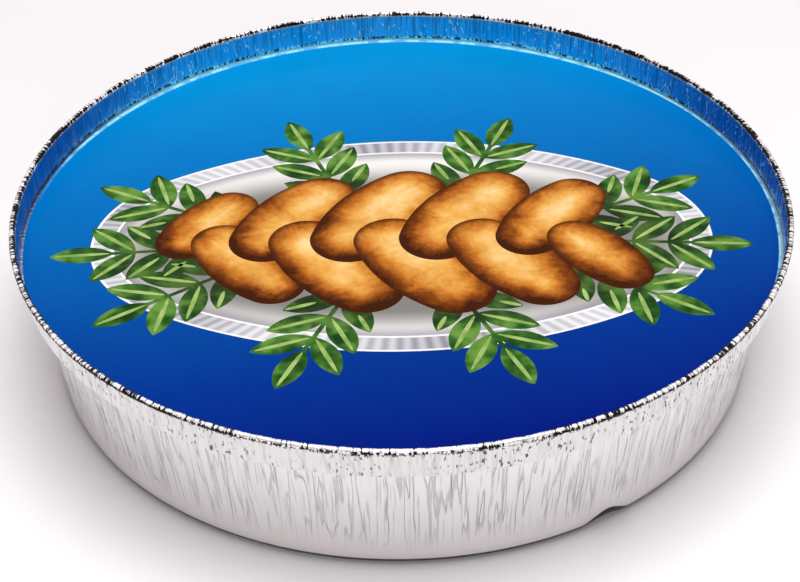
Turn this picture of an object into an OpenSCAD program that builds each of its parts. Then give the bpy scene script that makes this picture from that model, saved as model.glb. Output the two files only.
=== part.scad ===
// Round pressed-foil food container with a printed card lid resting inside its upright collar.
// Millimetres, +Z up, origin at the centre of the underside of the base.

/* [Foil sheet] */
// Thickness of the aluminium foil
foil_t = 0.12; // [0.08:0.01:0.25]

/* [Rim and collar] */
// Outer diameter over the rolled rim
rim_d = 232; // [180:1:300]
// Width of the rolled rim
bead_w = 2; // [1.4:0.1:3.5]
// Height of the upright collar, from the ledge to the top of the rim
collar_h = 10.5; // [7:0.5:14]
// How far the collar leans outwards over its height
collar_flare = 0.6; // [0.2:0.1:2]
// Width of the ledge that the lid rests on
ledge_w = 3.4; // [2.8:0.1:6]

/* [Body] */
// Overall height of the pan
pan_h = 50.5; // [36:0.5:80]
// Lean of the side wall, in degrees from upright
wall_draft = 8.6; // [4:0.1:14]
// Radius of the corner between base and wall
corner_r = 3.5; // [2:0.1:6]

/* [Pressing creases] */
// Number of creases around the wall
crease_n = 148; // [80:1:150]
// Depth of the deepest creases in the wall
crease_depth = 1.3; // [0.5:0.1:1.6]
// Depth of the crimps in the collar
crimp_depth = 0.4; // [0.2:0.05:0.5]
// Pattern number of the creases
crease_seed = 7; // [1:1:40]

/* [Dent in the bottom corner] */
// Direction of the dent, in degrees from +X
dent_angle = -58; // [-180:1:180]
// Length of the dent along the corner
dent_l = 20; // [8:1:30]
// How far the corner is pushed in
dent_depth = 1.2; // [0.5:0.1:2.5]

/* [Card lid] */
// Thickness of the card
card_t = 0.6; // [0.4:0.05:1.2]
// Gap between the lid and the foot of the collar, all round
lid_gap = 0.5; // [0.4:0.1:2]

/* [Print on the lid] */
// Thickness that the printed layer is drawn with
print_t = 0.06; // [0.04:0.01:0.15]
// Length of the printed platter, as a share of the lid's width
platter_share = 0.82; // [0.74:0.01:0.86]
// Width of the platter, as a share of its length
platter_slim = 0.59; // [0.54:0.01:0.62]
// Rim of the platter, as a share of its width
platter_rim_share = 0.065; // [0.04:0.005:0.1]
// Strands in the printed loaf
strand_n = 10; // [8:1:11]
// Length of one strand, as a share of the platter's width
strand_share = 0.5; // [0.44:0.005:0.52]
// Width of one strand, as a share of its length
strand_slim = 0.54; // [0.45:0.01:0.58]
// Share of a strand's width that the next strand covers
strand_lap = 0.56; // [0.5:0.01:0.62]
// Dark crust left around each strand's glaze, as a share of the strand's width
crust_share = 0.075; // [0.06:0.005:0.12]
// Length of one printed leaf, as a share of the platter's width
leaf_share = 0.175; // [0.13:0.005:0.19]
// Width of one leaf, as a share of its length
leaf_slim = 0.42; // [0.32:0.01:0.5]
// Pairs of leaves on a sprig
leaf_pairs = 3; // [2:1:3]

/* [Hidden] */
$fn = 96;

foil_silver = [0.86, 0.87, 0.88];
card_white = [0.93, 0.92, 0.89];
ground_light = [0.03, 0.56, 0.86];
ground_mid = [0.02, 0.40, 0.76];
ground_deep = [0.01, 0.16, 0.60];
platter_silver = [0.80, 0.80, 0.82];
platter_white = [0.92, 0.90, 0.89];
leaf_green = [0.16, 0.38, 0.16];
crust_brown = [0.62, 0.30, 0.09];
glaze_gold = [0.86, 0.56, 0.21];
shine_gold = [0.96, 0.80, 0.50];

// Section of the sheet, on its middle surface, as [radius, height].
ledge_z = pan_h - collar_h;
bead_z = pan_h - bead_w / 2;
bead_c = rim_d / 2 - bead_w / 2;
bead_turn_r = bead_w / 2 - foil_t / 2;
collar_top_r = bead_c - bead_turn_r;
collar_foot_r = collar_top_r - collar_flare;
shoulder_r = collar_foot_r - ledge_w;
shoulder_z = ledge_z - foil_t / 2;
turn_r = corner_r - foil_t / 2;
turn_z = corner_r;
// The wall is the line tangent to the corner's arc that reaches the shoulder.
base_r = shoulder_r - (shoulder_z - turn_z + turn_r * sin(wall_draft)) * tan(wall_draft)
       - turn_r * cos(wall_draft);
wall_foot = arc_point([base_r, turn_z], turn_r, -wall_draft);
shoulder = [shoulder_r, shoulder_z];

// Each station is [point, crease depth, crimp depth, dent share].
stations = [
    [arc_point([base_r, turn_z], turn_r, -90), 0, 0, 0],
    [arc_point([base_r, turn_z], turn_r, -45), 0, 0, 1],
    [wall_foot, 0.22, 0, 0.8],
    [along(wall_foot, shoulder, 0.5), 1, 0, 0],
    [shoulder, 0.55, 0, 0],
    [[collar_foot_r, shoulder_z], 0, 0.6, 0],
    [arc_point([bead_c, bead_z], bead_turn_r, 180), 0, 0.8, 0],
    [arc_point([bead_c, bead_z], bead_turn_r, 90), 0, 0.8, 0],
    [arc_point([bead_c, bead_z], bead_turn_r, 10), 0, 1, 0],
    [arc_point([bead_c, bead_z], bead_turn_r, -60), 0, 0.8, 0]
];
station_n = len(stations);

// Two columns of points to a crease, a valley and a ridge, spaced and sized unevenly.
column_n = 2 * crease_n;
column_step = 360 / column_n;
column_jitter = rands(-0.22, 0.22, column_n, crease_seed);
column_lean = rands(-0.25, 0.25, column_n, crease_seed + 1);
column_depth = rands(0.15, 1, column_n, crease_seed + 2);
crimp_size = rands(0.2, 1, column_n, crease_seed + 3);

lid_r = collar_foot_r - foil_t / 2 - lid_gap;
lid_top = ledge_z + card_t;

// The printed design keeps its proportions on a lid of another size.
platter_l = 2 * lid_r * platter_share;
platter_w = platter_l * platter_slim;
platter_end_r = 0.35 * platter_w;
platter_rim = platter_w * platter_rim_share;
strand_l = platter_w * strand_share;
strand_w = strand_l * strand_slim;
strand_pitch = strand_w * (1 - strand_lap);
crust_w = strand_w * crust_share;
leaf_l = platter_w * leaf_share;
leaf_w = leaf_l * leaf_slim;
stem_w = leaf_l * 0.075;
// The design sits a little in front of the middle of the lid.
print_drop = 0.06 * lid_r;
// Edges of the bands of the printed ground, from the middle of the design.
band_back_y = 0.3 * lid_r;
band_front_y = -0.23 * lid_r;
// Each sprig is [x, y, direction], placed in shares of the platter's length and width.
sprigs = [
    [-0.26, 0.07, 152],
    [-0.29, -0.02, 184],
    [-0.25, -0.11, 214],
    [0.26, 0.07, 28],
    [0.29, -0.02, -4],
    [0.25, -0.11, -34],
    [-0.09, 0.19, 112],
    [0.09, 0.19, 68],
    [-0.08, -0.22, 246],
    [0.08, -0.22, -66]
];

function arc_point(centre, r, a) = centre + r * [cos(a), sin(a)];
function along(p, q, share) = p + share * (q - p);
function unit(v) = v / norm(v);

// Unit normal of a stretch of the section, on the side that faces down and outwards.
function out_normal(p, q) = let (d = unit(q - p)) [d[1], -d[0]];

// Mitred step from the middle surface to a face of the sheet at station k.
function mitre(k) =
    let (here = stations[k][0],
         before = k > 0 ? out_normal(stations[k - 1][0], here) : [0, -1],
         after = k < station_n - 1 ? out_normal(here, stations[k + 1][0]) : before)
    (before + after) / (1 + before * after);

function face_point(k, side) = stations[k][0] + side * foil_t / 2 * mitre(k);

// Angle of column j at height z, leaning to one side up the wall.
function column_angle(j, z) =
    column_step * (j + column_jitter[j] + column_lean[j] * 2 * (z / pan_h - 0.5));

// Radial shift of column j at station k: even columns are valleys, odd ones are ridges.
function crease(j, k) =
    (j % 2 == 0 ? -0.5 : 0.5)
    * (column_depth[j] * stations[k][1] * crease_depth + crimp_size[j] * stations[k][2] * crimp_depth);

// Share of the dent at an angle: 1 in its middle and 0 past its ends.
function dent_share(a) =
    let (off = abs((a - dent_angle + 540) % 360 - 180) * PI / 180 * base_r,
         x = min(1, 2 * off / dent_l))
    (1 + cos(180 * x)) / 2;

function pan_point(k, side, j) =
    let (p = face_point(k, side),
         a = column_angle(j, p[1]),
         push = dent_depth * stations[k][3] * dent_share(a),
         r = p[0] + crease(j, k) - push)
    [r * cos(a), r * sin(a), p[1] + push / 2];

// Place of a point in the list of points: side 0 is the outer face, side 1 the inner.
function place(side, k, j) = (side * station_n + k) * column_n + j % column_n;

// Two triangles between one ring of points and the next, split along the same diagonal on both faces.
function strip(a, b, c, d) = [[a, d, c], [a, c, b]];
function strip_back(a, b, c, d) = [[a, c, d], [a, b, c]];

module foil_pan() {
    points = [
        for (side = [1, -1])
            for (k = [0 : station_n - 1])
                for (j = [0 : column_n - 1])
                    pan_point(k, side, j)
    ];
    last = station_n - 1;
    outer_face = [
        for (k = [0 : last - 1], j = [0 : column_n - 1])
            each strip(place(0, k, j), place(0, k, j + 1), place(0, k + 1, j + 1), place(0, k + 1, j))
    ];
    inner_face = [
        for (k = [0 : last - 1], j = [0 : column_n - 1])
            each strip_back(place(1, k, j), place(1, k, j + 1), place(1, k + 1, j + 1), place(1, k + 1, j))
    ];
    cut_edge = [
        for (j = [0 : column_n - 1])
            each strip(place(0, last, j), place(0, last, j + 1), place(1, last, j + 1), place(1, last, j))
    ];
    underside = [for (j = [0 : column_n - 1]) place(0, 0, j)];
    floor_inside = [for (j = [column_n - 1 : -1 : 0]) place(1, 0, j)];
    color(foil_silver)
        polyhedron(points, concat(outer_face, inner_face, cut_edge, [underside, floor_inside]));
}

module card_lid() {
    color(card_white)
        translate([0, 0, ledge_z])
            cylinder(r = lid_r, h = card_t);
}

// An oval of four arcs lying along X: two end circles and two flatter arcs tangent to them.
module oval(l, w, end_r) {
    end_x = l / 2 - end_r;
    end_y = w / 2 - end_r;
    flat_y = (end_x * end_x - end_y * end_y) / (2 * end_y);
    flat_r = w / 2 + flat_y;
    meet_x = flat_r * end_x / norm([end_x, flat_y]);
    for (s = [-1, 1])
        translate([s * end_x, 0])
            circle(r = end_r);
    intersection() {
        translate([0, -flat_y])
            circle(r = flat_r);
        translate([0, flat_y])
            circle(r = flat_r);
        square([2 * meet_x, w], center = true);
    }
}

module platter_outline(inset) {
    oval(platter_l - 2 * inset, platter_w - 2 * inset, platter_end_r - inset);
}

// A pointed leaf from the origin along +X, between two arcs.
module leaf(l, w) {
    arc_r = (l * l + w * w) / (4 * w);
    intersection_for (s = [-1, 1])
        translate([l / 2, s * (arc_r - w / 2)])
            circle(r = arc_r);
}

// A straight stem with leaves in pairs and one at its tip.
module sprig() {
    leaf_step = leaf_l * 0.55;
    translate([0, -stem_w / 2])
        square([leaf_pairs * leaf_step + stem_w, stem_w]);
    for (i = [1 : leaf_pairs])
        for (s = [-1, 1])
            translate([(i - 0.6) * leaf_step, 0])
                rotate(s * 46)
                    leaf(leaf_l, leaf_w);
    translate([leaf_pairs * leaf_step, 0])
        leaf(leaf_l, leaf_w);
}

module leaves() {
    for (s = sprigs)
        translate([s[0] * platter_l, s[1] * platter_w])
            rotate(s[2])
                sprig();
}

function strand_x(i) = (i - (strand_n - 1) / 2) * strand_pitch;

// Strands swell towards the middle of the loaf.
function strand_swell(i) = 1 - 0.34 * pow(2 * strand_x(i) / (strand_n * strand_pitch), 2);

// Strands lean alternately to each side of the loaf's middle line.
module strand(i, inset) {
    side = i % 2 == 0 ? 1 : -1;
    swell = strand_swell(i);
    translate([strand_x(i), side * strand_l * 0.24 * swell])
        rotate(side * 54)
            oval(strand_l * swell - 2 * inset, strand_w * swell - 2 * inset, strand_w * swell * 0.4 - inset);
}

// A patch of light on the back half of a strand.
module strand_shine(i) {
    side = i % 2 == 0 ? 1 : -1;
    swell = strand_swell(i);
    translate([strand_x(i), side * strand_l * 0.24 * swell])
        rotate(side * 54)
            translate([side * strand_l * 0.12 * swell, strand_w * 0.13 * swell])
                oval(strand_l * 0.4 * swell, strand_w * 0.22 * swell, strand_w * 0.08 * swell);
}

// What shows of strand i, given as its children, under the strands laid after it.
module shown_of_strand(i) {
    difference() {
        children();
        for (over = [i + 1 : 1 : min(i + 4, strand_n - 1)])
            strand(over, 0);
    }
}

module loaf() {
    for (i = [0 : strand_n - 1])
        strand(i, 0);
}

module loaf_glaze() {
    for (i = [0 : strand_n - 1])
        shown_of_strand(i)
            strand(i, crust_w);
}

module loaf_shine() {
    for (i = [0 : strand_n - 1])
        shown_of_strand(i)
            strand_shine(i);
}

// The card's outline over the whole design.
module card_outline() {
    translate([0, print_drop])
        circle(r = lid_r);
}

// One printed field, in the design's own place on the lid.
module field() {
    translate([0, -print_drop, lid_top])
        linear_extrude(height = print_t)
            children();
}

// A band of the ground, around the platter and the leaves.
module ground(back, front) {
    field()
        difference() {
            intersection() {
                card_outline();
                translate([-lid_r, front])
                    square([2 * lid_r, back - front]);
            }
            platter_outline(0);
            leaves();
        }
}

module print_ground_light() {
    color(ground_light)
        ground(2 * lid_r, band_back_y);
}

module print_ground_mid() {
    color(ground_mid)
        ground(band_back_y, band_front_y);
}

module print_ground_deep() {
    color(ground_deep)
        ground(band_front_y, -2 * lid_r);
}

module print_platter_rim() {
    color(platter_silver)
        field()
            difference() {
                platter_outline(0);
                platter_outline(platter_rim);
                leaves();
            }
}

module print_platter_well() {
    color(platter_white)
        field()
            difference() {
                platter_outline(platter_rim);
                leaves();
                loaf();
            }
}

module print_leaves() {
    color(leaf_green)
        field()
            difference() {
                leaves();
                loaf();
            }
}

module print_loaf_crust() {
    color(crust_brown)
        field()
            difference() {
                loaf();
                loaf_glaze();
            }
}

module print_loaf_glaze() {
    color(glaze_gold)
        field()
            difference() {
                loaf_glaze();
                loaf_shine();
            }
}

module print_loaf_shine() {
    color(shine_gold)
        field()
            intersection() {
                loaf_shine();
                loaf_glaze();
            }
}

foil_pan();
card_lid();
print_ground_light();
print_ground_mid();
print_ground_deep();
print_platter_rim();
print_platter_well();
print_leaves();
print_loaf_crust();
print_loaf_glaze();
print_loaf_shine();
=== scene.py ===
import math
import random

import bpy
import numpy as np
from mathutils import Matrix, Vector


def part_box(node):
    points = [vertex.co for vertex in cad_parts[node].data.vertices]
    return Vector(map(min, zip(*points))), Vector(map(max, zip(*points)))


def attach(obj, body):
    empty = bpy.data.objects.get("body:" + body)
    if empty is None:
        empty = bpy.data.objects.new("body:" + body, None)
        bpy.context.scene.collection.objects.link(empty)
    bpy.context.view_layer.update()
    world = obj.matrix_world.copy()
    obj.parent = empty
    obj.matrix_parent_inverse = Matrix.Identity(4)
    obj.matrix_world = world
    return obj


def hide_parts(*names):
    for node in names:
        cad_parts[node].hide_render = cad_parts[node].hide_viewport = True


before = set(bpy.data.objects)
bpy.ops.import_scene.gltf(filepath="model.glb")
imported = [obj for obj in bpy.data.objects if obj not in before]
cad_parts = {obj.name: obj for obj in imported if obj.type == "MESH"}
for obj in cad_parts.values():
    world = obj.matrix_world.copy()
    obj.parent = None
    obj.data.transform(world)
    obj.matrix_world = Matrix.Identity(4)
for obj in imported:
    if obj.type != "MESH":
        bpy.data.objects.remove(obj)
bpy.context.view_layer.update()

# Round foil food container with a printed card lid, in metres, standing on its base at the origin.

PAN_HIGH = Vector(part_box("foil_pan")[1])
LID_LOW, LID_HIGH = (Vector(corner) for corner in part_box("card_lid"))

MM = 0.001

# Sizes of the pan's section, on the middle of the sheet.
FOIL = 0.12 * MM
PAN_H = PAN_HIGH.z
LEDGE_Z = LID_LOW.z
BEAD_W = 2.0 * MM
BEAD_R = 115.0 * MM
BEAD_Z = PAN_H - BEAD_W / 2
BEAD_TURN = BEAD_W / 2 - FOIL
COLLAR_TOP = BEAD_R - BEAD_TURN
COLLAR_FLARE = 0.6 * MM
COLLAR_FOOT = COLLAR_TOP - COLLAR_FLARE
LEDGE_W = 3.4 * MM
SHOULDER_R = COLLAR_FOOT - LEDGE_W
SHOULDER_Z = LEDGE_Z - FOIL / 2
DRAFT = math.radians(8.6)
CORNER = 3.5 * MM - FOIL / 2
CORNER_Z = CORNER + FOIL / 2

# Slack within which a point of the sheet counts as on a line of the section.
SLACK = 0.01 * MM

# Points of the section: degrees round the corner and the bead, and steps up the wall and the collar.
CORNER_STOPS = (-90, -70, -50, -30)
WALL_STEPS = 19
COLLAR_STEPS = 8
BEAD_STOPS = (140, 105, 75, 45, 15, -20, -60)

# Columns of points around the sheet, and the degrees up to which its faces are shaded as one.
COLUMNS = 1104
SMOOTH_UP_TO = 40

# The seed of all the creases, and how far the pleats and the crimps push the sheet in. The bead takes a
# share of the crimps' push, and the pinches take a share off its thickness.
SEED = 11
PLEAT_IN = 0.45 * MM
CRIMP_IN = 0.28 * MM
CRIMP_IN_BEAD = 0.6
PINCH_SHARE = 0.28

# The kinds of crease, in the order in which they are drawn from the seed. Each crease takes its depth and
# its half width, an angle, from the ranges given. The lean says how much the angles vary that the creases
# turn over the full height, and low and high are their ends, as shares of that height.
LONG_PLEATS = dict(count=260, depth=(0.25, 0.9), width=(0.0036, 0.007), lean=0.03, low=0.06, high=1.1)
SHORT_PLEATS = dict(count=260, depth=(0.2, 0.7), width=(0.0026, 0.005), lean=0.035, low=0.4, high=1.1)
LOW_PLEATS = dict(count=160, depth=(0.2, 0.6), width=(0.003, 0.0055), lean=0.035, low=0.0, high=0.75)
DEEP_PLEATS = dict(count=26, depth=(0.8, 1.0), width=(0.004, 0.0055), lean=0.012, low=0.35, high=1.1)
CRIMPS = dict(count=300, depth=(0.2, 1.0), width=(0.005, 0.009), lean=0.012, low=-0.5, high=1.4)
PINCHES = dict(count=420, depth=(0.0, 1.0), width=(0.0025, 0.006), lean=0.0, low=-1.0, high=2.0)

# A crease lies up to this share of a step off its even place, and starts up to a share of the height above
# its low end. Some end below their high end. Its line winds by a small angle, and the crease fades away
# from the line this fast and this far, in its own half widths.
CREASE_SCATTER = 0.42
CREASE_RISE = 0.24
CREASE_DROP = 0.3
DROP_CHANCE = 0.35
CREASE_WOBBLE = 0.0035
CREASE_SHARP = 1.25
CREASE_REACH = 3.2

# The dent at the foot of the wall: direction, length, depth and lift, the height at which it is deepest,
# and the height over which it fades.
DENT_AT = math.radians(-58)
DENT_L = 17 * MM
DENT_IN = 1.2 * MM
DENT_LIFT = 0.15 * DENT_IN
DENT_Z = 0.9 * MM
DENT_H = 1.9 * MM

# The printed design, in shares of the lid as the card's print is laid out, and its angles in degrees.
LID_R = (LID_HIGH.x - LID_LOW.x) / 2
LID_MID = ((LID_HIGH.x + LID_LOW.x) / 2, (LID_HIGH.y + LID_LOW.y) / 2)
LID_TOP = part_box("print_platter_well")[1][2]
GROUND_TURN = 12
DESIGN_Y = -0.06 * LID_R
DESIGN_MID = (LID_MID[0], DESIGN_Y)

# The platter, and the bright lips along its rim's edges, the flutes and the broad waves of tone round it.
PLATTER_L = 2 * LID_R * 0.82
PLATTER_W = PLATTER_L * 0.59
PLATTER_END_R = 0.35 * PLATTER_W
PLATTER_RIM = 0.065 * PLATTER_W
LIP_W = 0.9 * MM
LIP_SOFT = 0.2 * MM
FLUTES = 132
BROAD_WAVES = 6
WELL_SHADE_W = 5 * MM

# The loaf's strands, plaited along the platter and smaller towards its ends, and the shadow round them.
STRANDS = 10
STRAND_L = 0.5 * PLATTER_W
STRAND_W = 0.54 * STRAND_L
STRAND_PITCH = 0.44 * STRAND_W
STRAND_LEAN = 54
STRAND_TAPER = 0.34
STRAND_OFFSET = 0.24
STRAND_END = 0.4
SHADOW_SHIFT = (1.5 * MM, -3 * MM)
SHADOW_HALF_L = 0.44 * PLATTER_L
SHADOW_HALF_W = 0.34 * PLATTER_W

# The leaves of a sprig, in pairs and one at its tip, and the slim rib on each that the loaf doesn't hide.
LEAF_L = 0.175 * PLATTER_W
LEAF_STEP = 0.55 * LEAF_L
LEAF_PAIRS = 3
LEAF_LEAN = 46
FIRST_LEAVES = 0.4
RIB_L = 0.86 * LEAF_L
RIB_W = 0.075 * LEAF_L
RIB_H = 0.02 * MM
RIB_SIDES = 16
RIB_SAMPLES = 24
RIB_HIDDEN = 0.8

# Sprigs at the right of the platter, mirrored at its left: place in shares of the platter, and direction.
RIGHT_SPRIGS = [
    (0.26, 0.07, 28),
    (0.29, -0.02, -4),
    (0.25, -0.11, -34),
    (0.09, 0.19, 68),
    (0.08, -0.22, -66),
]
SPRIGS = RIGHT_SPRIGS + [(-x, y, 180 - turn) for x, y, turn in RIGHT_SPRIGS]

# The camera, as fitted to the photograph's circles.
VIEW_LENS = 99.0
VIEW_SENSOR = 36
VIEW_DISTANCE = 0.675
VIEW_ELEVATION = math.radians(36.1)
VIEW_ROLL = math.radians(-1.12)
VIEW_AIM = Vector((-0.75 * MM, 0, 16.7 * MM))

# The studio: light from all round, and what gloss reflects of it, bright but for a dark side at the front.
WORLD_LIGHT = 0.31
WORLD_TINT = (1, 0.915, 0.925, 1)
GLOSS_BRIGHT = 0.9
GLOSS_DARK = 0.03
DARK_SIDE_UP = math.radians(38)
DARK_SIDE_EDGE = (0.62, 0.84)
WHITE = (1, 1, 1, 1)
FLOOR_SIZE = 8
FLOOR_COLOUR = (0.935, 0.92, 0.926, 1)


# Small helpers


def deselect():
    if bpy.context.object and bpy.context.object.mode != "OBJECT":
        bpy.ops.object.mode_set(mode="OBJECT")
    bpy.ops.object.select_all(action="DESELECT")


def smoothstep(low, high, x):
    t = np.clip((x - low) / (high - low), 0.0, 1.0)
    return t * t * (3 - 2 * t)


def between(p, q, share):
    return p[0] + share * (q[0] - p[0]), p[1] + share * (q[1] - p[1])


def arc_point(centre, radius, angle):
    return centre[0] + radius * math.cos(angle), centre[1] + radius * math.sin(angle)


def arc_points(centre, radius, stops):
    return [arc_point(centre, radius, math.radians(stop)) for stop in stops]


def line_points(p, q, steps):
    return [between(p, q, i / steps) for i in range(steps + 1)]


def turned_off(angle, at):
    """Angle away from a direction, to either side."""
    return np.abs((angle - at + math.pi) % (2 * math.pi) - math.pi)


def strand_shape(i):
    """Centre, lean, length and width of a strand of the printed loaf."""
    side = 1 if i % 2 == 0 else -1
    x = (i - (STRANDS - 1) / 2) * STRAND_PITCH
    size = 1 - STRAND_TAPER * (2 * x / (STRANDS * STRAND_PITCH)) ** 2
    centre = (LID_MID[0] + x, DESIGN_Y + side * STRAND_OFFSET * STRAND_L * size)
    return centre, math.radians(side * STRAND_LEAN), STRAND_L * size, STRAND_W * size


# The foil pan

BASE_R = (
    SHOULDER_R
    - (SHOULDER_Z - CORNER_Z + CORNER * math.sin(DRAFT)) * math.tan(DRAFT)
    - CORNER * math.cos(DRAFT)
)


def pan_section():
    """Section of the sheet from the base's edge to the cut edge of the rolled rim."""
    corner = (BASE_R, CORNER_Z)
    foot = arc_point(corner, CORNER, -DRAFT)
    shoulder = (SHOULDER_R, SHOULDER_Z)
    ledge = (COLLAR_FOOT, SHOULDER_Z)
    collar_top = (COLLAR_TOP, BEAD_Z)
    return [
        *arc_points(corner, CORNER, CORNER_STOPS),
        *line_points(foot, shoulder, WALL_STEPS),
        between(shoulder, ledge, 0.5),
        *line_points(ledge, collar_top, COLLAR_STEPS),
        *arc_points((BEAD_R, BEAD_Z), BEAD_TURN, BEAD_STOPS),
    ]


def turn_section(name, stations, columns):
    """A filled circle at the first station, its edge extruded and resized through the rest."""
    deselect()
    radius, z = stations[0]
    bpy.ops.mesh.primitive_circle_add(
        vertices=columns,
        radius=radius,
        fill_type="NGON",
        location=(0, 0, z),
    )
    pan = bpy.context.object
    pan.name = name
    bpy.ops.object.mode_set(mode="EDIT")
    bpy.ops.mesh.select_all(action="SELECT")
    bpy.ops.mesh.region_to_loop()
    for next_radius, next_z in stations[1:]:
        growth = next_radius / radius
        bpy.ops.mesh.extrude_edges_move(TRANSFORM_OT_translate={"value": (0, 0, next_z - z)})
        bpy.ops.transform.resize(value=(growth, growth, 1), center_override=(0, 0, next_z))
        radius, z = next_radius, next_z
    bpy.ops.mesh.select_all(action="SELECT")
    bpy.ops.mesh.normals_make_consistent(inside=False)
    deselect()
    pan.select_set(True)
    bpy.context.view_layer.objects.active = pan
    bpy.ops.object.transform_apply(location=True, rotation=True, scale=True)
    return pan


def creases(angle, height, rng, count, depth, width, lean, low, high):
    """Depth of one kind of crease: 0 between the creases, and near 1 in the line of the deepest."""
    field = np.zeros_like(angle)
    step = 2 * math.pi / count
    at_reach = math.exp(-CREASE_SHARP * CREASE_REACH)
    for i in range(count):
        at = (i + rng.uniform(-CREASE_SCATTER, CREASE_SCATTER)) * step
        deep = rng.uniform(*depth)
        half = rng.uniform(*width)
        slope = rng.gauss(0, lean)
        wobble = rng.uniform(0, 2 * math.pi)
        bottom = low + rng.uniform(0, CREASE_RISE)
        top = high - (rng.uniform(0, CREASE_DROP) if rng.random() < DROP_CHANCE else 0.0)
        centre = at + slope * (height - 0.5) + CREASE_WOBBLE * np.sin(5 * height + wobble)
        off = turned_off(angle, centre) / half
        shape = np.where(off < CREASE_REACH, np.exp(-CREASE_SHARP * off) - at_reach, 0.0)
        fade = smoothstep(bottom - 0.12, bottom + 0.22, height)
        fade *= 1 - smoothstep(top, top + 0.12, height)
        field = np.maximum(field, deep * np.clip(shape, 0, 1) * fade)
    return field


def wall_pleats(angle, up_wall, rng):
    """Pleats of the wall, and the few deep ones among them by themselves."""
    kinds = (LONG_PLEATS, SHORT_PLEATS, LOW_PLEATS, DEEP_PLEATS)
    fields = [creases(angle, up_wall, rng, **kind) for kind in kinds]
    return np.maximum.reduce(fields), fields[-1]


def dent_shape(radius, angle, z):
    """Share of the dent at the foot of the wall by direction alone, and at each point."""
    off = turned_off(angle, DENT_AT) * BASE_R
    by_dent = np.where(off < DENT_L / 2, (1 + np.cos(2 * math.pi * off / DENT_L)) / 2, 0.0)
    dent = by_dent * np.exp(-(((z - DENT_Z) / DENT_H) ** 2)) * (radius > BASE_R - SLACK)
    return by_dent, dent


def press_pan(pan):
    """Moves the sheet's points into its creases, crimps, pinches and dent, and notes where these are."""
    mesh = pan.data
    count = len(mesh.vertices)
    points = np.empty(count * 3)
    mesh.vertices.foreach_get("co", points)
    points = points.reshape(-1, 3)
    radius = np.hypot(points[:, 0], points[:, 1])
    angle = np.arctan2(points[:, 1], points[:, 0])
    z = points[:, 2]
    rng = random.Random(SEED)

    # The wall's pleats grow out of its foot.
    wall_foot = CORNER_Z * 0.6
    on_wall = (z < SHOULDER_Z + SLACK) & (radius < COLLAR_FOOT - LEDGE_W * 0.6)
    up_wall = np.clip((z - wall_foot) / (SHOULDER_Z - wall_foot), 0, 1)
    pleat, deep_pleat = wall_pleats(angle, up_wall, rng)
    wall_share = on_wall * smoothstep(0.0, 0.35, up_wall)
    pleat = pleat * wall_share
    deep_pleat = deep_pleat * wall_share

    # The collar's fine upright crimps grow towards the rim.
    on_collar = (radius > COLLAR_FOOT - SLACK) & (z > SHOULDER_Z - SLACK)
    up_collar = np.clip((z - SHOULDER_Z) / (BEAD_Z - SHOULDER_Z), 0, 1)
    crimp = creases(angle, up_collar, rng, **CRIMPS) * on_collar
    collar_push = -CRIMP_IN * crimp * smoothstep(-0.2, 0.7, up_collar)

    # The pinches make the rolled rim's tube thinner.
    around_tube = np.arctan2(z - BEAD_Z, radius - BEAD_R)
    on_bead = (z > BEAD_Z - BEAD_TURN * 1.1) & (radius > COLLAR_TOP + BEAD_TURN * 0.15)
    bead_top = smoothstep(math.radians(5), math.radians(35), around_tube)
    bead_top *= 1 - smoothstep(math.radians(98), math.radians(125), around_tube)
    halfway = np.full_like(angle, 0.5)
    pinch = creases(angle, halfway, rng, **PINCHES) * on_bead
    tube_scale = 1 - PINCH_SHARE * pinch

    by_dent, dent = dent_shape(radius, angle, z)
    new_radius = radius - PLEAT_IN * pleat + collar_push - DENT_IN * dent
    new_z = z + DENT_LIFT * dent
    bead_r = BEAD_R + (radius - BEAD_R) * tube_scale
    bead_z = BEAD_Z + (z - BEAD_Z) * tube_scale
    new_radius = np.where(on_bead, bead_r + collar_push * CRIMP_IN_BEAD, new_radius)
    new_z = np.where(on_bead, bead_z, new_z)
    moved = np.stack([np.cos(angle) * new_radius, np.sin(angle) * new_radius, new_z], axis=1)
    mesh.vertices.foreach_set("co", moved.ravel())

    # Where the foil's material paints dark shade and reflections: on the bead away from its top, and on the
    # collar just under the bead.
    below_bead = smoothstep(BEAD_Z - 3.2 * MM, BEAD_Z - 1.8 * MM, z)
    note_on_points(mesh, "crease", pleat)
    note_on_points(mesh, "deep_crease", deep_pleat)
    note_on_points(mesh, "height", z)
    note_on_points(mesh, "crimp", crimp)
    note_on_points(mesh, "pinch", pinch)
    note_on_points(mesh, "rim_dark", np.where(on_bead, 1 - bead_top, below_bead))
    note_on_points(mesh, "rim_side", on_bead * smoothstep(0.2, 0.6, np.abs(np.cos(angle))))
    note_on_points(mesh, "collar", on_collar)
    note_on_points(mesh, "by_dent", by_dent)
    mesh.update()


def note_on_points(mesh, name, values):
    layer = mesh.attributes.new(name, "FLOAT", "POINT")
    layer.data.foreach_set("value", values.astype(np.float32))


def thicken(piece, thickness):
    wall = piece.modifiers.new("wall", "SOLIDIFY")
    wall.thickness = thickness
    wall.offset = 0
    wall.use_even_offset = False
    bpy.context.view_layer.objects.active = piece
    bpy.ops.object.modifier_apply(modifier="wall")


def soften(piece, angle):
    deselect()
    piece.select_set(True)
    bpy.context.view_layer.objects.active = piece
    bpy.ops.object.shade_smooth_by_angle(angle=math.radians(angle))
    deselect()


def make_pan():
    pan = turn_section("pressed_foil_pan", pan_section(), COLUMNS)
    press_pan(pan)
    thicken(pan, FOIL)
    soften(pan, SMOOTH_UP_TO)
    pan.data.materials.clear()
    pan.data.materials.append(foil_material())
    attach(pan, "root")
    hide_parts("foil_pan")


# Node building


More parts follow.
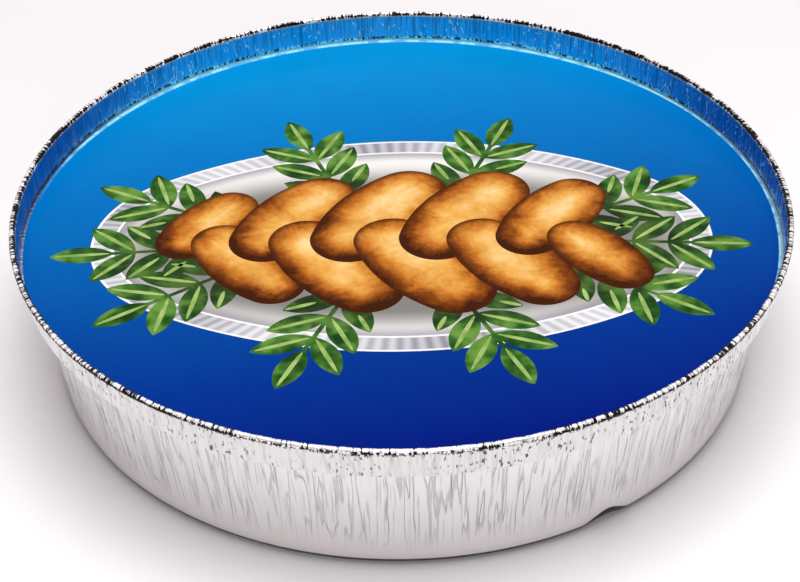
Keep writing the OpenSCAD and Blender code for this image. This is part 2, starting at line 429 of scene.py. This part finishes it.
class Nodes:
    """Short calls for building the nodes of one material or world."""

    def __init__(self, owner):
        owner.use_nodes = True
        self.owner = owner
        self.tree = owner.node_tree

    def new(self, kind, inputs=None, **settings):
        node = self.tree.nodes.new(kind)
        for key, value in settings.items():
            setattr(node, key, value)
        for key, value in (inputs or {}).items():
            self.set(node.inputs[key], value)
        return node

    def set(self, socket, value):
        if isinstance(value, bpy.types.NodeSocket):
            self.tree.links.new(value, socket)
        else:
            socket.default_value = value

    def math(self, operation, a, b=0.0, c=0.0):
        node = self.new("ShaderNodeMath", operation=operation)
        for socket, value in zip(node.inputs, (a, b, c)):
            self.set(socket, value)
        return node.outputs[0]

    def times(self, a, b):
        return self.math("MULTIPLY", a, b)

    def most(self, a, b):
        return self.math("MAXIMUM", a, b)

    def scaled(self, value, scale, plus):
        """The value times a scale, plus another value."""
        return self.math("MULTIPLY_ADD", value, scale, plus)

    def vector(self, operation, a, b=None, scale=None, out="Vector"):
        inputs = {0: a}
        if b is not None:
            inputs[1] = b
        if scale is not None:
            inputs["Scale"] = scale
        return self.new("ShaderNodeVectorMath", inputs, operation=operation).outputs[out]

    def axes(self, vector):
        return self.new("ShaderNodeSeparateXYZ", {"Vector": vector}).outputs

    def mix(self, share, a, b):
        """Colour a where the share is 0, and b where it is 1."""
        node = self.new("ShaderNodeMix", data_type="RGBA")
        self.set(node.inputs["Factor"], share)
        self.set(node.inputs[6], a)
        self.set(node.inputs[7], b)
        return node.outputs[2]

    def pick(self, share, a, b):
        """Value a where the share is 0, and b where it is 1."""
        node = self.new("ShaderNodeMix", {"Factor": share}, data_type="FLOAT")
        self.set(node.inputs[2], a)
        self.set(node.inputs[3], b)
        return node.outputs[0]

    def spread(self, value, low, high, to_low=0.0, to_high=1.0):
        """Takes a value smoothly from one range to another, and holds it at the ends."""
        ends = {"Value": value, "From Min": low, "From Max": high, "To Min": to_low, "To Max": to_high}
        return self.new("ShaderNodeMapRange", ends, interpolation_type="SMOOTHSTEP").outputs["Result"]

    def ramp(self, value, stops):
        node = self.new("ShaderNodeValToRGB", {"Fac": value})
        band = node.color_ramp
        band.elements[0].position, band.elements[0].color = stops[0]
        band.elements[1].position, band.elements[1].color = stops[-1]
        for position, colour in stops[1:-1]:
            band.elements.new(position).color = colour
        return node.outputs["Color"]

    def here(self):
        return self.new("ShaderNodeTexCoord").outputs["Object"]

    def place(self, scale=(1, 1, 1)):
        return self.new("ShaderNodeMapping", {"Vector": self.here(), "Scale": scale}).outputs["Vector"]

    def noise_at(self, place, scale, detail, roughness, distortion):
        inputs = {
            "Vector": place,
            "Scale": scale,
            "Detail": detail,
            "Roughness": roughness,
            "Distortion": distortion,
        }
        return self.new("ShaderNodeTexNoise", inputs).outputs["Fac"]

    def noise(self, scale, stretch=(1, 1, 1), detail=2.0, roughness=0.5, distortion=0.0):
        return self.noise_at(self.place(stretch), scale, detail, roughness, distortion)

    def wall_noise(self, scale, upright, detail=2.0, roughness=0.5, distortion=0.0):
        return self.noise_at(self.wrapped(upright), scale, detail, roughness, distortion)

    def spoke(self):
        """Level direction from the pan's axis to this point."""
        flat = self.vector("MULTIPLY", self.here(), (1, 1, 0))
        return self.vector("NORMALIZE", flat)

    def wrapped(self, upright):
        """Place on a drum round the pan's axis, so that what varies on it runs straight up the wall."""
        drum = self.vector("SCALE", self.spoke(), scale=BASE_R)
        rise = self.vector("MULTIPLY", self.here(), (0, 0, upright))
        return self.vector("ADD", drum, rise)

    def outward(self):
        """How far the sheet's face looks away from the pan's axis, 1 straight out and -1 straight in."""
        face = self.new("ShaderNodeNewGeometry").outputs["True Normal"]
        return self.vector("DOT_PRODUCT", self.spoke(), face, out="Value")

    def attribute(self, name):
        node = self.new("ShaderNodeAttribute", attribute_name=name, attribute_type="GEOMETRY")
        return node.outputs["Fac"]

    def bump(self, height, strength, distance, under=None):
        node = self.new("ShaderNodeBump", {"Height": height, "Strength": strength, "Distance": distance})
        if under is not None:
            self.set(node.inputs["Normal"], under)
        return node.outputs["Normal"]

    def finish(self, **sockets):
        shader = self.tree.nodes["Principled BSDF"]
        for key, value in sockets.items():
            self.set(shader.inputs[key.replace("_", " ")], value)
        return self.owner


def material_nodes(name):
    return Nodes(bpy.data.materials.new(name))


def linear_part(level):
    share = level / 255
    return share / 12.92 if share <= 0.04045 else ((share + 0.055) / 1.055) ** 2.4


def linear(red, green, blue):
    """Linear colour of a screen colour given in 0 to 255."""
    return linear_part(red), linear_part(green), linear_part(blue), 1.0


# The foil's material

SILVER = linear(233, 233, 233)
SILVER_FOOT = linear(245, 239, 239)
MATT = linear(223, 223, 222)
# Grey of the painted shade in the foil's creases, folds and crimps, and of the grey flecks on the rim's
# top.
SHADE_GREY = linear(150, 145, 147)
# Near black of the painted shade in the deep creases and of the painted dark ticks of reflection on the
# collar.
DARK_SHADE = linear(46, 42, 44)
# Painted shade where the corner meets the floor, and under the lifted edge of the dent.
CORNER_SHADE = linear(30, 25, 27)
# Black of the painted dark reflections and shade inside the collar and along the rim.
BLACK = linear(10, 10, 14)
LID_REFLECTION_BLUE = linear(140, 220, 245)
LID_REFLECTION_DEEP_BLUE = linear(96, 142, 192)
# Pale blue of the painted highlights inside the collar.
PALE_BLUE = linear(190, 232, 248)
# Painted highlight on the top of the rolled rim.
RIM_WHITE = linear(252, 251, 251)

# Heights: the warm foot of the wall, the rise in which the fine lines come in, the painted shade along the
# corner where it turns under to the floor, and how much higher that painted shade reaches in the dent.
FOOT_H = 22 * MM
LINES_H = (4 * MM, 17 * MM)
CORNER_SHADE_H = (2.2 * MM, 2.8 * MM)
DENT_SHADE_RISE = 3.4 * MM


def collar_sides(n, facing):
    """Shares of the foil that are the outside and the inside of the collar."""
    collar = n.attribute("collar")
    outside = n.times(collar, facing)
    return outside, n.math("SUBTRACT", collar, outside)


def sheet_colour(n, height, across, outside, within):
    """The sheet before its marks: duller outside the collar, and inside it a painted reflection of the
    lid's blue print, deeper towards the sides.
    """
    foot = n.spread(height, 0, FOOT_H, 1.0, 0.0)
    colour = n.mix(foot, SILVER, SILVER_FOOT)
    colour = n.mix(n.times(outside, 0.8), colour, MATT)
    to_side = n.spread(n.math("ABSOLUTE", across), 0.6 * COLLAR_FOOT, 0.95 * COLLAR_FOOT)
    return n.mix(within, colour, n.mix(to_side, LID_REFLECTION_BLUE, LID_REFLECTION_DEEP_BLUE))


def upright_lines(n, height):
    """Fine lines drawn up the sheet, thin folds winding between them, and how much of the folds shows."""
    lines = n.wall_noise(1500, 0.04, detail=1.5, distortion=0.3)
    waves = n.wall_noise(270, 0.07, detail=2.5, roughness=0.6, distortion=0.15)
    from_half = n.math("ABSOLUTE", n.math("SUBTRACT", waves, 0.5))
    folds = n.spread(from_half, 0.003, 0.026, 1, 0)
    off_foot = n.spread(height, *LINES_H)
    off_collar = n.scaled(n.attribute("collar"), -0.5, 1.0)
    patchy = n.spread(n.noise(30), 0.34, 0.56, 0.55, 1.0)
    shown = n.times(n.times(off_foot, off_collar), patchy)
    return lines, folds, shown


def draw_creases(n, colour, lines, folds, shown):
    """Paints shade along the fine lines and folds, and in the valleys of the pressed creases; the deep
    creases get a darker painted shade.
    """
    crease_shade_lines = n.most(n.spread(lines, 0.56, 0.66, 0, 0.46), n.times(folds, 0.46))
    colour = n.mix(n.times(crease_shade_lines, shown), colour, SHADE_GREY)
    in_crease = n.spread(n.attribute("crease"), 0.4, 0.85)
    colour = n.mix(n.times(in_crease, 0.42), colour, SHADE_GREY)
    in_deep_crease = n.spread(n.attribute("deep_crease"), 0.4, 0.8)
    return n.mix(n.times(in_deep_crease, 0.6), colour, DARK_SHADE)


def corner_shade_share(n, height):
    """Share of the corner that gets painted shade where it turns under to the floor, reaching higher up in
    the dent.
    """
    above_dent = n.scaled(n.attribute("by_dent"), -DENT_SHADE_RISE, height)
    return n.spread(above_dent, *CORNER_SHADE_H, 1.0, 0.0)


def band(n, value, low, high):
    """1 between two soft edges, each given as the pair of values that it lies between."""
    return n.times(n.spread(value, *low), n.spread(value, *high, 1, 0))


def draw_collar(n, colour, lines, height, across, facing, outside, within):
    """The collar's painted shade, dark reflections and highlights, and also the share of the foil that is
    pale.

    It has painted shade in its crimps all through, dark ticks of painted reflection outside, and inside it
    dark runs of painted reflection, pale squiggles of painted highlight and a pale painted highlight at its
    foot with dark stitches of painted reflection over it. Nothing is pale at the left.
    """
    # Painted shade in the collar's crimps.
    colour = n.mix(n.times(n.spread(n.attribute("crimp"), 0.25, 1.0), 0.4), colour, SHADE_GREY)
    ticks = n.wall_noise(1300, 0.4, detail=1.5, roughness=0.6)
    in_patches = n.spread(n.noise(60), 0.34, 0.54)
    ticked = n.times(n.times(n.spread(ticks, 0.6, 0.65), in_patches), outside)
    # Dark ticks on the outside of the collar, painted dark reflections.
    colour = n.mix(n.times(ticked, 0.85), colour, DARK_SHADE)

    more_above = n.spread(height, LEDGE_Z, PAN_H, -0.1, 0.02)
    runs = n.spread(n.math("ADD", more_above, lines), 0.48, 0.58, 0, 0.32)
    # Dark runs inside the collar, painted reflection.
    colour = n.mix(n.times(runs, within), colour, BLACK)

    squiggles = n.wall_noise(900, 0.3, detail=2, distortion=1.2)
    squiggled = n.times(n.times(n.spread(squiggles, 0.62, 0.68), within), 0.6)
    over_ledge = n.math("SUBTRACT", height, LEDGE_Z)
    foot = band(n, over_ledge, (-0.3 * MM, -0.1 * MM), (0.5 * MM, 0.9 * MM))
    foot = n.times(foot, n.scaled(facing, -0.7, 0.7))
    not_left = n.spread(across, -0.97 * COLLAR_FOOT, -0.7 * COLLAR_FOOT)
    pale = n.times(n.most(squiggled, foot), not_left)
    # Painted highlights: pale squiggles and a pale line at the collar's foot.
    colour = n.mix(pale, colour, PALE_BLUE)

    stitched = band(n, over_ledge, (0.9 * MM, 1.1 * MM), (1.7 * MM, 2.2 * MM))
    stitches = n.times(n.times(stitched, within), n.spread(ticks, 0.46, 0.54, 0, 0.9))
    # Dark stitches over the pale foot, painted reflection.
    return n.mix(stitches, colour, BLACK), pale


def draw_rim(n, colour, height, facing):
    """Rolled rim with a painted white highlight on its top, flecked with painted grey, and ragged black
    painted shade and dark reflections along its side and under it; also the shares that are its top and its
    painted dark.
    """
    grain = n.wall_noise(1400, 0.3, detail=3, roughness=0.7, distortion=0.3)
    clumps = n.wall_noise(170, 0.4, detail=2)
    shade_level = n.scaled(clumps, 0.5, n.scaled(n.attribute("pinch"), 0.1, grain))
    shade_level = n.scaled(n.attribute("rim_dark"), 0.18, shade_level)
    shade_level = n.scaled(n.attribute("rim_side"), 0.105, shade_level)
    lowest = n.scaled(facing, -2.2 * MM, BEAD_Z - 0.7 * MM)
    on_rim = n.spread(height, lowest, n.math("ADD", lowest, 0.8 * MM))
    rim_shade = n.times(n.spread(shade_level, 0.88, 0.92), on_rim)

    top = n.spread(height, BEAD_Z - 0.7 * MM, BEAD_Z)
    top_colour = n.mix(n.spread(grain, 0.46, 0.62, 0, 0.6), RIM_WHITE, SHADE_GREY)
    colour = n.mix(top, colour, top_colour)
    return n.mix(rim_shade, colour, BLACK), top, rim_shade


def foil_material():
    """Bright pressed foil with upright lines and painted shade in its valleys, a collar with painted
    reflections, shade and highlights, painted shade along its corner, and a rim with a painted highlight on
    top and painted dark along it.
    """
    n = material_nodes("pressed_foil")
    height = n.attribute("height")
    across = n.axes(n.place())["X"]
    facing = n.spread(n.outward(), -0.2, 0.2)
    outside, within = collar_sides(n, facing)
    lines, folds, shown = upright_lines(n, height)
    under = corner_shade_share(n, height)

    colour = sheet_colour(n, height, across, outside, within)
    colour = draw_creases(n, colour, lines, folds, shown)
    # Painted shade along the foot of the wall and in the dent.
    colour = n.mix(under, colour, CORNER_SHADE)
    colour, pale = draw_collar(n, colour, lines, height, across, facing, outside, within)
    colour, top, rim_shade = draw_rim(n, colour, height, facing)

    clouds = n.noise(70, (1, 1, 0.4), detail=2)
    drawn = n.bump(lines, 0.3, 0.3 * MM)
    folded = n.bump(n.times(folds, shown), 0.6, 0.3 * MM, drawn)
    # Where shade, dark reflections or highlights are painted, the foil is not metallic.
    marked = n.most(n.most(under, rim_shade), pale)
    bare = n.math("SUBTRACT", 1.0, marked)
    return n.finish(
        Base_Color=colour,
        Metallic=n.times(bare, n.scaled(top, -0.5, 1.0)),
        Roughness=n.spread(clouds, 0.3, 0.7, 0.17, 0.27),
        Specular_IOR_Level=0.1,
        Normal=n.bump(clouds, 0.3, 1.2 * MM, folded),
    )


# The lid's materials


def gloss_print(n, colour):
    """Ink on coated card: the colour with a faint unevenness under a low gloss."""
    tooth = n.noise(2200, detail=2)
    tint = n.noise(60, detail=2)
    value = n.spread(tint, 0.2, 0.8, 0.97, 1.03)
    inked = n.new("ShaderNodeHueSaturation", {"Color": colour, "Value": value})
    return n.finish(
        Base_Color=inked.outputs["Color"],
        Roughness=n.spread(tint, 0.2, 0.8, 0.24, 0.29),
        Normal=n.bump(tooth, 0.05, 0.04 * MM),
        Specular_IOR_Level=0.02,
    )


def from_centre(n, centre, angle, half_l, half_w):
    """Place on an ellipse: 0 at its centre and 1 on its edge, as a vector."""
    inputs = {
        "Vector": n.here(),
        "Location": (centre[0], centre[1], LID_TOP),
        "Rotation": (0, 0, angle),
        "Scale": (half_l, half_w, 1),
    }
    return n.new("ShaderNodeMapping", inputs, vector_type="TEXTURE").outputs["Vector"]


def length(n, vector):
    return n.vector("LENGTH", vector, out="Value")


def distance(n, vector, point):
    return n.vector("DISTANCE", vector, point, out="Value")


def oval_depth(n, centre, angle, span, width, end_r):
    """How far inside a four-arc oval a point lies, in metres."""
    folded = n.vector("ABSOLUTE", from_centre(n, centre, angle, 1, 1))
    end_x = span / 2 - end_r
    end_y = width / 2 - end_r
    flat_y = (end_x**2 - end_y**2) / (2 * end_y)
    flat_r = width / 2 + flat_y
    in_end = n.math("SUBTRACT", end_r, distance(n, folded, (end_x, 0, 0)))
    in_flat = n.math("SUBTRACT", flat_r, distance(n, folded, (0, -flat_y, 0)))
    place = n.axes(folded)
    side = n.scaled(place["X"], flat_y, -end_x * flat_y)
    side = n.scaled(place["Y"], -end_x, side)
    past_end = n.math("GREATER_THAN", side, 0.0)
    return n.pick(past_end, in_flat, in_end)


def ground_material():
    """Blue that deepens from the back left of the lid to the front, with a pale ring at the card's cut
    edge, where the ink thins, that is also a painted highlight.
    """
    n = material_nodes("blue_print")
    local = from_centre(n, LID_MID, math.radians(GROUND_TURN), LID_R, LID_R)
    place = n.axes(local)
    blues = [
        (0.05, linear(0, 26, 124)),
        (0.22, linear(0, 50, 141)),
        (0.36, linear(0, 72, 157)),
        (0.75, linear(0, 121, 196)),
        (0.93, linear(0, 142, 211)),
    ]
    colour = n.ramp(n.scaled(place["Y"], 0.5, 0.5), blues)

    # The pale edge, partly thinned ink and partly a painted highlight, is wider at the back, broken in
    # places, and not seen at the left.
    wider_at_back = n.scaled(n.spread(place["Y"], 0.3, 0.9), 0.9 * MM / LID_R, length(n, local))
    edge = n.spread(wider_at_back, 1 - 0.8 * MM / LID_R, 1 - 0.5 * MM / LID_R)
    edge_breaks = n.spread(n.noise(260, detail=2), 0.36, 0.56, 0.35, 1.0)
    not_left = n.spread(place["X"], -0.95, -0.75)
    edge = n.times(n.times(edge, edge_breaks), not_left)
    return gloss_print(n, n.mix(edge, colour, linear(160, 228, 248)))


def loaf_shadow(n, colour, depth):
    """Darkens a colour near the loaf, a little more on its front side."""
    centre = (DESIGN_MID[0] + SHADOW_SHIFT[0], DESIGN_MID[1] + SHADOW_SHIFT[1])
    near = length(n, from_centre(n, centre, 0, SHADOW_HALF_L, SHADOW_HALF_W))
    return n.mix(n.spread(near, 0.86, 1.22, depth, 0.0), colour, linear(38, 34, 30))


def platter_depth(n):
    return oval_depth(n, DESIGN_MID, 0, PLATTER_L, PLATTER_W, PLATTER_END_R)


def silver_material():
    """The platter's fluted silver rim, bright at its edges."""
    n = material_nodes("silver_print")
    place = n.axes(from_centre(n, DESIGN_MID, 0, PLATTER_L / 2, PLATTER_W / 2))
    turn = n.math("ARCTAN2", place["Y"], place["X"])
    broad = n.math("SINE", n.scaled(turn, BROAD_WAVES, 0.6))
    flutes = n.math("SINE", n.times(turn, FLUTES))
    tone = n.scaled(broad, 0.2, n.scaled(flutes, 0.16, 0.5))
    silvers = [
        (0.0, linear(116, 116, 124)),
        (0.5, linear(196, 196, 202)),
        (1.0, linear(250, 249, 250)),
    ]
    depth = platter_depth(n)
    outer_lip = n.spread(depth, LIP_W - LIP_SOFT, LIP_W, 1, 0)
    inner_lip = n.spread(depth, PLATTER_RIM - LIP_W, PLATTER_RIM - LIP_W + LIP_SOFT)
    lips = n.times(n.math("ADD", outer_lip, inner_lip), 0.9)
    return gloss_print(n, n.mix(lips, n.ramp(tone, silvers), linear(250, 249, 248)))


def well_material():
    """The platter's white well, shaded inside its rim and under the loaf."""
    n = material_nodes("white_print")
    inner = n.spread(platter_depth(n), PLATTER_RIM, PLATTER_RIM + WELL_SHADE_W)
    colour = n.mix(inner, linear(176, 174, 180), linear(240, 237, 234))
    return gloss_print(n, loaf_shadow(n, colour, 0.75))


def leaf_material():
    n = material_nodes("green_print")
    patches = n.noise(120, detail=2, roughness=0.6)
    greens = [
        (0.0, linear(24, 62, 22)),
        (0.5, linear(56, 104, 38)),
        (1.0, linear(104, 150, 62)),
    ]
    colour = n.ramp(n.spread(patches, 0.3, 0.7), greens)
    return gloss_print(n, loaf_shadow(n, colour, 0.55))


def rib_material():
    n = material_nodes("pale_green_print")
    patches = n.noise(200, detail=2)
    colour = n.mix(n.spread(patches, 0.3, 0.7), linear(128, 162, 84), linear(170, 196, 118))
    return gloss_print(n, colour)


def loaf_material():
    """Baked strands: a dark crust round each, golden on the rounded back, pale where the light falls."""
    n = material_nodes("baked_loaf_print")
    y = n.axes(n.place())["Y"]
    depth = 0.0
    lift = 0.0
    for i in range(STRANDS):
        centre, angle, span, width = strand_shape(i)
        own_depth = oval_depth(n, centre, angle, span, width, STRAND_END * width)
        own_lift = n.scaled(y, 2 / width, -2 * centre[1] / width)
        inside = n.math("GREATER_THAN", own_depth, 0.0)
        depth = n.pick(inside, depth, own_depth)
        lift = n.pick(inside, lift, own_lift)
    rounded = n.spread(depth, 0.0, 0.22 * STRAND_L)
    baked = n.noise(75, detail=4, roughness=0.65, distortion=0.4)
    crumb = n.noise(600, detail=3, roughness=0.6)
    tone = n.scaled(rounded, 0.62, n.scaled(lift, 0.13, 0.12))
    tone = n.scaled(n.math("SUBTRACT", baked, 0.5), 0.9, tone)
    tone = n.scaled(n.math("SUBTRACT", crumb, 0.5), 0.25, tone)
    browns = [
        (0.0, linear(64, 28, 8)),
        (0.2, linear(132, 66, 18)),
        (0.42, linear(198, 120, 42)),
        (0.68, linear(233, 173, 84)),
        (1.0, linear(250, 222, 160)),
    ]
    crust = n.spread(depth, 0.0, 0.09 * STRAND_W, 0.85, 0.0)
    return gloss_print(n, n.mix(crust, n.ramp(tone, browns), linear(66, 28, 8)))


def card_material():
    n = material_nodes("white_card")
    fibre = n.noise(1500, detail=3, roughness=0.7)
    colour = n.mix(n.spread(fibre, 0.3, 0.7, 0, 1), linear(246, 244, 240), linear(232, 229, 222))
    return n.finish(Base_Color=colour, Roughness=0.7, Normal=n.bump(fibre, 0.15, 0.1 * MM))


def dress(node, material):
    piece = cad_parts[node]
    piece.data.materials.clear()
    piece.data.materials.append(material)


def dress_lid():
    dress("card_lid", card_material())
    ground = ground_material()
    for node in ("print_ground_light", "print_ground_mid", "print_ground_deep"):
        dress(node, ground)
    dress("print_platter_rim", silver_material())
    dress("print_platter_well", well_material())
    dress("print_leaves", leaf_material())
    loaf = loaf_material()
    for node in ("print_loaf_crust", "print_loaf_glaze", "print_loaf_shine"):
        dress(node, loaf)


# The midribs printed on the leaves


def in_loaf(x, y):
    """Whether a place on the lid is on the loaf or within a small margin of it."""
    margin = 0.3 * MM
    roundness = 2.4
    for i in range(STRANDS):
        centre, angle, span, width = strand_shape(i)
        dx = x - centre[0]
        dy = y - centre[1]
        along = (dx * math.cos(angle) + dy * math.sin(angle)) / (span / 2 + margin)
        across = (dy * math.cos(angle) - dx * math.sin(angle)) / (width / 2 + margin)
        if abs(along) ** roundness + abs(across) ** roundness < 1:
            return True
    return False


def leaf_places():
    """Place of each leaf, its foot at the origin and its tip along X."""
    places = []
    for share_x, share_y, turn in SPRIGS:
        x = LID_MID[0] + share_x * PLATTER_L
        y = DESIGN_Y + share_y * PLATTER_W
        sprig = Matrix.Translation((x, y, LID_TOP)) @ Matrix.Rotation(math.radians(turn), 4, "Z")
        spots = [(LEAF_PAIRS * LEAF_STEP, 0)]
        for i in range(LEAF_PAIRS):
            along = (FIRST_LEAVES + i) * LEAF_STEP
            spots += [(along, -LEAF_LEAN), (along, LEAF_LEAN)]
        for along, lean in spots:
            leaf = Matrix.Translation((along, 0, 0)) @ Matrix.Rotation(math.radians(lean), 4, "Z")
            places.append(sprig @ leaf)
    return places


def clear_of_loaf(places):
    """The places moved out from under the loaf and shortened to match, without those it all but covers."""
    kept = []
    for place in places:
        start = 0.0
        for i in range(RIB_SAMPLES):
            spot = place @ Vector((LEAF_L * i / RIB_SAMPLES, 0, 0))
            if in_loaf(spot.x, spot.y):
                start = LEAF_L * (i + 1) / RIB_SAMPLES
        if start < RIB_HIDDEN * LEAF_L:
            shift = Matrix.Translation((start, 0, 0))
            shorten = Matrix.Diagonal((1 - start / LEAF_L, 1, 1, 1))
            kept.append(place @ shift @ shorten)
    return kept


def make_blade():
    """One slim pointed midrib, along X over a leaf whose foot is at the origin."""
    deselect()
    bpy.ops.mesh.primitive_circle_add(vertices=RIB_SIDES, radius=1, fill_type="NGON", location=(0, 0, 0))
    blade = bpy.context.object
    bpy.ops.object.mode_set(mode="EDIT")
    bpy.ops.mesh.select_all(action="SELECT")
    bpy.ops.transform.resize(value=(RIB_L / 2, RIB_W / 2, 1), center_override=(0, 0, 0))
    bpy.ops.transform.translate(value=(LEAF_L / 2, 0, RIB_H))
    bpy.ops.mesh.extrude_region_move(TRANSFORM_OT_translate={"value": (0, 0, RIB_H)})
    bpy.ops.mesh.select_all(action="SELECT")
    bpy.ops.mesh.normals_make_consistent(inside=False)
    deselect()
    return blade


def make_leaf_ribs():
    """Pale midribs printed on the leaves: one slim blade, copied to each leaf."""
    blade = make_blade()
    copies = []
    for place in clear_of_loaf(leaf_places()):
        copy = blade.copy()
        copy.data = blade.data.copy()
        bpy.context.collection.objects.link(copy)
        copy.data.transform(place)
        copies.append(copy)
    bpy.data.objects.remove(blade)
    deselect()
    for copy in copies:
        copy.select_set(True)
    bpy.context.view_layer.objects.active = copies[0]
    bpy.ops.object.join()
    ribs = bpy.context.object
    ribs.name = "leaf_ribs"
    ribs.data.materials.append(rib_material())
    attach(ribs, "root")


# Floor, light and camera


def floor_material():
    n = material_nodes("pale_floor")
    return n.finish(Base_Color=FLOOR_COLOUR, Roughness=0.75, Specular_IOR_Level=0.2)


def make_floor():
    deselect()
    bpy.ops.mesh.primitive_plane_add(size=FLOOR_SIZE, location=(0, 0, 0))
    floor = bpy.context.object
    floor.name = "pale_floor"
    floor.data.materials.append(floor_material())


def make_world():
    """White where the camera looks; gloss sees a bright studio with a dark side at the front."""
    world = bpy.data.worlds.new("studio")
    bpy.context.scene.world = world
    n = Nodes(world)
    ray = n.new("ShaderNodeLightPath").outputs
    direction = n.new("ShaderNodeTexCoord").outputs["Generated"]
    dark_side = (0, -math.cos(DARK_SIDE_UP), math.sin(DARK_SIDE_UP))
    to_dark_side = n.vector("DOT_PRODUCT", direction, dark_side, out="Value")
    reflected = n.spread(to_dark_side, *DARK_SIDE_EDGE, GLOSS_BRIGHT, GLOSS_DARK)
    light = n.pick(ray["Is Glossy Ray"], WORLD_LIGHT, reflected)
    background = n.tree.nodes["Background"]
    n.set(background.inputs["Color"], n.mix(ray["Is Camera Ray"], WORLD_TINT, WHITE))
    n.set(background.inputs["Strength"], n.pick(ray["Is Camera Ray"], light, 1.0))


def soft_lamp(name, place, aim, size, power):
    data = bpy.data.lights.new(name, "AREA")
    data.shape = "DISK"
    data.size = size
    data.energy = power
    lamp = bpy.data.objects.new(name, data)
    bpy.context.collection.objects.link(lamp)
    lamp.location = place
    lamp.rotation_euler = (Vector(aim) - Vector(place)).to_track_quat("-Z", "Y").to_euler()


def make_lamps():
    soft_lamp("overhead_softbox", place=(0.06, -0.07, 1.3), aim=(0, 0, 0), size=1.0, power=13.7)
    soft_lamp("front_fill", place=(0.1, -1.2, 0.8), aim=(0, 0, 0.02), size=0.8, power=3.9)


def make_camera():
    ahead = Vector((0, math.cos(VIEW_ELEVATION), -math.sin(VIEW_ELEVATION)))
    level_up = Vector((0, math.sin(VIEW_ELEVATION), math.cos(VIEW_ELEVATION)))
    across = Vector((1, 0, 0))
    right = math.cos(VIEW_ROLL) * across + math.sin(VIEW_ROLL) * level_up
    up = -math.sin(VIEW_ROLL) * across + math.cos(VIEW_ROLL) * level_up
    data = bpy.data.cameras.new("camera")
    data.lens = VIEW_LENS
    data.sensor_width = VIEW_SENSOR
    data.clip_start = 10 * MM
    camera = bpy.data.objects.new("camera", data)
    bpy.context.collection.objects.link(camera)
    turn = Matrix((right, up, -ahead)).transposed().to_4x4()
    camera.matrix_world = Matrix.Translation(VIEW_AIM - VIEW_DISTANCE * ahead) @ turn
    bpy.context.scene.camera = camera


bpy.context.scene.view_settings.view_transform = "Standard"
make_camera()
make_world()
make_lamps()
make_floor()
make_pan()
dress_lid()
make_leaf_ribs()
